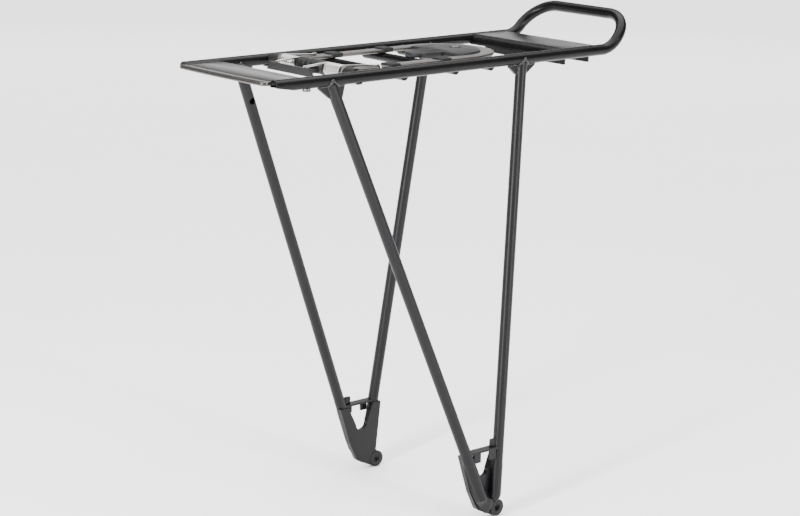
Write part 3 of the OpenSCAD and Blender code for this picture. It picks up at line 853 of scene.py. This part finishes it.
def makeClampStrip():
    # one flat bar: an eye rolled round the rod, a step down to the arm, the arm, and half of the round end,
    # then the same mirrored; width lies along Y on the arms and away from the centre on the round end
    s = strip
    roll = s["bore"] + s["thickness"] / 2
    a = np.radians(np.linspace(345, 90, 46))
    eye = np.stack([pivotX + roll * np.cos(a), pivotZ + roll * np.sin(a)], -1)
    eyeUp = np.stack([np.cos(a), np.sin(a)], -1)
    t = np.linspace(0, 1, 16)[1:]
    step = np.stack([pivotX + s["joggle"] * t, pivotZ + roll * (1 - smooth(t))], -1)
    slope = np.gradient(step[:, 1], step[:, 0])
    stepUp = unit(np.stack([-slope, np.ones(len(t))], -1))
    x = np.linspace(pivotX + s["joggle"], clampEndX, 24)[1:]
    arm = np.stack([x, np.full(len(x), pivotZ)], -1)
    flat = np.concatenate([eye, step, arm])
    flatUp = np.concatenate([eyeUp, stepUp, np.tile([0.0, 1.0], (len(x), 1))])
    middle = clampRadius - s["width"] / 2
    path = np.stack([flat[:, 0], np.full(len(flat), middle), flat[:, 1]], -1)
    up = np.stack([flatUp[:, 0], np.zeros(len(flat)), flatUp[:, 1]], -1)
    wide = np.tile([0.0, 1.0, 0.0], (len(flat), 1))
    b = np.radians(np.linspace(90, 0, 31))[1:]
    ringWide = np.stack([np.cos(b), np.sin(b), 0 * b], -1)
    ring = np.array([clampEndX, 0, pivotZ]) + middle * ringWide
    path = np.concatenate([path, ring])
    up = np.concatenate([up, np.tile([0.0, 0.0, 1.0], (len(b), 1))])
    wide = np.concatenate([wide, ringWide])
    flip = np.array([1, -1, 1])
    path = np.concatenate([path, path[-2::-1] * flip])
    up = np.concatenate([up, up[-2::-1] * flip])
    wide = np.concatenate([wide, wide[-2::-1] * flip])
    # the eye is narrower than the strip and keeps to its outer edge; the strip widens just behind the coils
    widenStart, widenRun = s["widen"]
    widening = smooth((s["joggle"] * t - widenStart) / widenRun)
    full = np.concatenate([np.zeros(len(eye)), widening, np.ones(len(x) + len(b))])
    widths = s["eye"] + (s["width"] - s["eye"]) * np.concatenate([full, full[-2::-1]])
    section = np.stack([roundedRect(w, s["thickness"], s["edge"]) + [(s["width"] - w) / 2, 0]
                        for w in widths])
    bar = sweep(path, wide, up, section)
    tongueStart, tongueEnd, tongueWidth = s["tongue"]
    x = np.linspace(clampEndX + tongueStart, clampEndX + middle - tongueEnd, 12)
    tongue = np.stack([x, 0 * x, np.full(len(x), pivotZ)], -1)
    return join(bar, sweep(tongue, [0, 1, 0], [0, 0, 1], roundedRect(tongueWidth, s["thickness"], s["edge"])))


piece("clampStrip", makeClampStrip(), zincStrip, "clamp", ["clamp_frame"], sharp=40)

grip = {
    "crown": 0.9 * mm,
    "edge": 1.3 * mm,
    "underEdge": 0.5 * mm,
    "nose": 12 * mm,        # radius of the nose
    "cut": 11 * mm,         # how far in front of the disc's centre the shoulders start
    "shoulder": (1.5 * mm, 1.2 * mm),   # how far forward each shoulder runs, and how far it bulges
    "centre": 2 * mm,       # the rings' centre, behind the disc's
    "ribPitch": 4.2 * mm,
    "ribHeight": 0.55 * mm,
    "ribReach": 0.88,       # share of the way out to the rim where the ribs end
}


def makeGrip():
    # rings round the outline, from the underside out, over the rim's quarter circle and in to the middle;
    # the top's height is high - crown * share^4, less half a cosine wave for each groove across the nose
    s = grip
    low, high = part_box("grip")
    disc, nose = (high.y - low.y) / 2, s["nose"]
    noseX = low.x + nose
    cut = clampEndX - s["cut"]
    joinY = math.sqrt(disc ** 2 - s["cut"] ** 2)
    rimEnd = math.pi - math.acos(s["cut"] / disc)
    rim = np.linspace(-rimEnd, rimEnd, 90)
    rear = np.stack([clampEndX + disc * np.cos(rim), disc * np.sin(rim)], -1)
    w = np.linspace(0, 1, 14)[1:-1, None]
    run, bulge = s["shoulder"]
    shoulder = np.array([cut, joinY]) * (1 - w) + np.array([cut - run, nose]) * w
    shoulder[:, 0] -= bulge * np.sin(np.pi * w[:, 0])
    tip = np.radians(np.linspace(90, 270, 40))
    front = np.stack([noseX + nose * np.cos(tip), nose * np.sin(tip)], -1)
    outline = np.concatenate([rear, shoulder, front, shoulder[::-1] * [1, -1]])
    centre = np.array([clampEndX + s["centre"], 0])
    reach = np.linalg.norm(outline - centre, axis=1, keepdims=True)
    ray = (outline - centre) / reach
    level = np.ones(len(outline))

    def ring(radius, z):
        return np.concatenate([centre + ray * radius, (level * z)[:, None]], 1)

    rings = [ring(reach * 0.05, low.z), ring(reach - s["underEdge"], low.z),
             ring(reach, low.z + s["underEdge"])]
    for q in np.radians(np.linspace(0, 90, 8)):
        rings.append(ring(reach - s["edge"] * (1 - math.cos(q)),
                          high.z - s["edge"] * (1 - math.sin(q)) - s["crown"]))
    for inward in np.linspace(0.93, 0.03, 26):
        radius = (reach - s["edge"]) * inward
        share = radius[:, 0] / reach[:, 0]
        x = (centre + ray * radius)[:, 0]
        zone = smooth((s["ribReach"] - share) / (1 - s["ribReach"])) * smooth((cut + 2 * mm - x) / (2 * mm))
        ribs = s["ribHeight"] * zone * (0.5 - 0.5 * np.cos(2 * np.pi * (x - noseX) / s["ribPitch"]))
        rings.append(ring(radius, high.z - s["crown"] * share ** 4 - ribs))
    return ringSurface(np.stack(rings))


piece("grip_moulding", makeGrip(), nylonBlack, "clamp", ["grip"], sharp=50)


rivet = {
    "head": 5 * mm,
    "rim": 0.2 * mm,
    "flatness": 0.92,       # at 1 the dome's edge would come right down to the grip
    "dimple": (0.5 * mm, 0.3),      # depth, and width as a share of the head's radius
    # tail and shank from the bottom up: height above the lowest point, and radius, both in millimetres
    "tail": [(0, 0.2), (0, 4.2), (1.4, 4.5), (1.5, 4.3), (1.5, 2.5)],
}


def makeRivet():
    # a shallow dome, dome * sqrt(1 - flatness * r^2), with a dimple in its middle, over a shank and a tail
    s = rivet
    low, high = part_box("grip_rivet")
    centre = ((low.x + high.x) / 2, (low.y + high.y) / 2)
    _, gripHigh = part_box("grip")
    dome = high.z - gripHigh.z
    dimpleDepth, dimpleWidth = s["dimple"]
    r = np.linspace(1, 0.02, 30)
    height = dome * np.sqrt(1 - s["flatness"] * r ** 2) - dimpleDepth * np.exp(-(r / dimpleWidth) ** 2)
    tail = np.array(s["tail"]) * mm + [low.z, 0]
    shank = [[gripHigh.z, tail[-1, 1]], [gripHigh.z - s["rim"], s["head"]]]
    profile = np.concatenate([tail, shank, np.stack([gripHigh.z + height, s["head"] * r], -1)])
    v, f = lathe((0, 0, 0), profile)
    turned = np.stack([v[:, 0] + centre[0], v[:, 2] + centre[1], v[:, 1]], -1)
    return turned, f


piece("gripRivet", makeRivet(), turnedSteel, "clamp", ["grip_rivet"], sharp=40)


pads = {"length": 12 * mm, "wrap": 2.4 * mm, "edge": 1.1 * mm, "closeIn": 0.16}


def makePads():
    # two rounded blocks on each arm, which close in by closeIn * (4 |t| - 3)^2 near both ends
    s = pads
    shells = []
    low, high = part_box("arm_pads")
    length = s["length"]
    middle = clampRadius - strip["width"] / 2
    t = np.linspace(-1, 1, 25)
    ease = 1 - s["closeIn"] * np.clip(4 * np.abs(t) - 3, 0, 1) ** 2
    block = roundedRect(strip["width"] + s["wrap"], high.z - low.z, s["edge"])[None]
    for x in (low.x + length / 2, high.x - length / 2):
        for side in (-1, 1):
            path = np.stack([x + t * length / 2, 0 * t + side * middle, 0 * t + (low.z + high.z) / 2], -1)
            shells.append(sweep(path, [0, 1, 0], [0, 0, 1], block * ease[:, None, None]))
    return join(*shells)


piece("armPads", makePads(), rubberBlack, "clamp", ["arm_pads"], sharp=50)
print("clamp done")

camera = {
    "place": (-1.21785, -1.37478, 0.65893),
    "azimuth": 40.4956,     # turned from +Y towards +X
    "dip": 13.6376,
    "roll": 0.823,
    "lens": 93.76,
    "sensor": 36,
    "clip": (0.05, 50),
}


def standAt(obj, axes, place):
    # axes: the object's own X, Y and Z directions
    columns = np.stack([*axes, place], 1).tolist()
    obj.matrix_world = Matrix([*columns, [0, 0, 0, 1]])


def placeCamera():
    s = camera
    a, d, r = (math.radians(s[k]) for k in ("azimuth", "dip", "roll"))
    forward = np.array([math.sin(a) * math.cos(d), math.cos(a) * math.cos(d), -math.sin(d)])
    right = np.array([math.cos(a), -math.sin(a), 0])
    up = np.cross(right, forward)
    turnedRight = right * math.cos(r) + up * math.sin(r)
    turnedUp = up * math.cos(r) - right * math.sin(r)
    data = bpy.data.cameras.new("camera")
    data.lens, data.sensor_width = s["lens"], s["sensor"]
    data.clip_start, data.clip_end = s["clip"]
    obj = bpy.data.objects.new("camera", data)
    bpy.context.scene.collection.objects.link(obj)
    standAt(obj, (turnedRight, turnedUp, -forward), s["place"])
    bpy.context.scene.camera = obj


placeCamera()

light = {
    "world": ("#ffffff", 0.3),
    "sky": {"strength": 7.5, "spread": 90},     # a very soft overhead light, which also whitens the floor
    "aim": (0, 0, 0.3),     # the point that every lamp faces
    "lamps": [
        {"name": "key", "place": (-1.5, -0.35, 0.75), "size": (0.16, 1.4), "power": 55},
        {"name": "fill", "place": (0.35, -1.9, 0.8), "size": (0.14, 1.4), "power": 42},
        {"name": "card", "place": (2.1, 2.4, 0.95), "size": (4.2, 0.9), "power": 16},
    ],
}


def placeLights():
    world = bpy.data.worlds.new("studio")
    bpy.context.scene.world = world
    world.use_nodes = True
    background = world.node_tree.nodes["Background"]
    background.inputs["Color"].default_value = toLinear(light["world"][0])
    background.inputs["Strength"].default_value = light["world"][1]
    sun = bpy.data.lights.new("sky", "SUN")
    sun.energy, sun.angle = light["sky"]["strength"], math.radians(light["sky"]["spread"])
    bpy.context.scene.collection.objects.link(bpy.data.objects.new("sky", sun))
    for lamp in light["lamps"]:
        data = bpy.data.lights.new(lamp["name"], "AREA")
        data.shape, data.energy = "RECTANGLE", lamp["power"]
        data.size, data.size_y = lamp["size"]
        obj = bpy.data.objects.new(lamp["name"], data)
        bpy.context.scene.collection.objects.link(obj)
        back = unit(np.array(lamp["place"]) - light["aim"])
        side = unit(np.cross([0, 0, 1.0], back))
        standAt(obj, (side, np.cross(back, side), back), lamp["place"])


placeLights()


# matt painted board: nearly white, with slow patches in its tone a third of a metre apart
board = {"half": 12, "gap": 0.5 * mm, "dark": "#f6f6f6", "light": "#fbfbfb", "patches": 1 / 3}


def makeFloor():
    # a level square just under the feet
    half, z = board["half"], cadBox[0][2] - board["gap"]
    mesh = bpy.data.meshes.new("floor")
    corners = [(-half, -half, z), (half, -half, z), (half, half, z), (-half, half, z)]
    mesh.from_pydata(corners, [], [(0, 1, 2, 3)])
    floor = bpy.data.objects.new("floor", mesh)
    bpy.context.scene.collection.objects.link(floor)
    material, tree, surface, where = newMaterial("paleFloor", {"Roughness": 0.9, "Specular IOR Level": 0.1})
    tone = addNode(tree, "ShaderNodeTexNoise", {"Scale": 1 / board["patches"], "Detail": 2},
                   {"Vector": (where, "Object")})
    setColour(tree, surface, tone, board)
    mesh.materials.append(material)


makeFloor()
print("camera, light and floor done")
